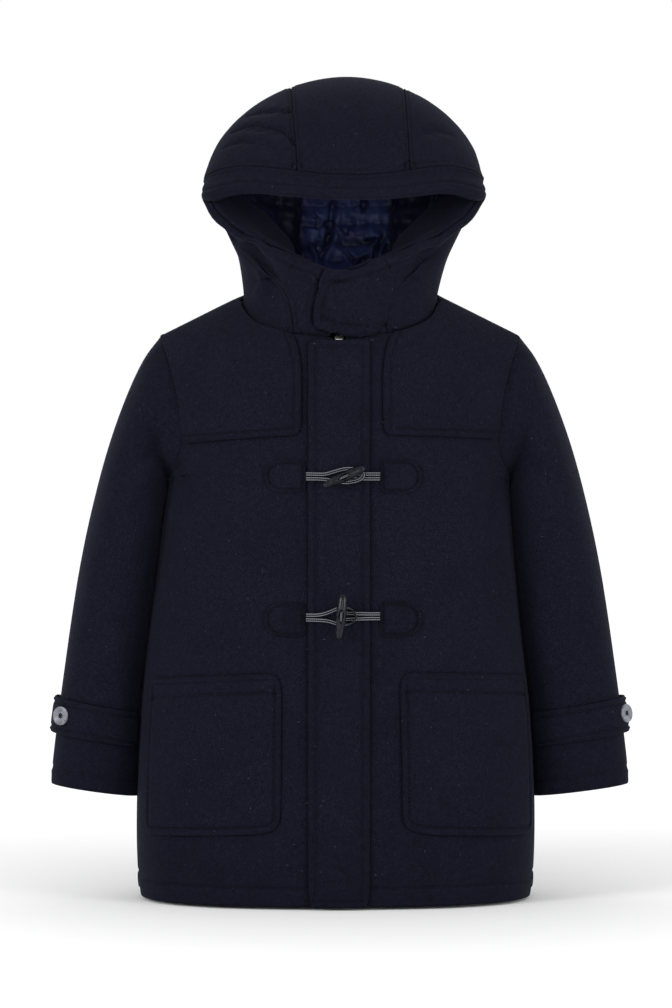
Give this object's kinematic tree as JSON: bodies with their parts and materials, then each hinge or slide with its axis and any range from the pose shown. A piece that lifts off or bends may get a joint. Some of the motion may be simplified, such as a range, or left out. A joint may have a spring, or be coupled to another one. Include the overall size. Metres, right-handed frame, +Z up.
{
  "type": "duffle coat",
  "caption": "Child's hooded wool duffle coat, closed, with toggles over a zipped placket, yokes, patch pockets and buttoned cuff straps; hollow, filled out as worn.",
  "frame": {"origin": "middle of the neck opening, level with the neck ends of the shoulders", "axes": "+Z up along the body, -Y out of the front, +X to the right of someone who looks at the front"},
  "size_m": [0.5831, 0.2405, 0.8197],
  "materials": {
    "wool": "milled wool, dark navy, matt with a short nap",
    "lining": "quilted nylon, dark blue, with a soft sheen",
    "braid": "flat braided cord, dark with light stripes",
    "horn": "polished, almost black, like horn",
    "button": "polished grey with a soft pattern",
    "tape": "woven zip tape, black",
    "nickel": "bright nickel plate"
  },
  "bodies": {
    "root": {"back": "wool", "cuff_button_left": "button", "cuff_button_right": "button", "cuff_strap_left": "wool", "cuff_strap_right": "wool", "front_left": "wool", "front_right": "wool", "hood_band": "wool", "hood_centre": "wool", "hood_facing": "wool", "hood_lining": "lining", "hood_side_left": "wool", "hood_side_right": "wool", "loop_lower": "braid", "loop_upper": "braid", "patch_lower_left": "wool", "patch_lower_right": "wool", "patch_upper_left": "wool", "patch_upper_right": "wool", "placket": "wool", "pocket_left": "wool", "pocket_right": "wool", "sleeve_left": "wool", "sleeve_right": "wool", "toggle_cord_lower": "braid", "toggle_cord_upper": "braid", "toggle_lower": "horn", "toggle_upper": "horn", "yoke_left": "wool", "yoke_right": "wool", "zip_pull": "nickel", "zip_slider": "nickel", "zip_tape": "tape"}
  },
  "joints": []
}
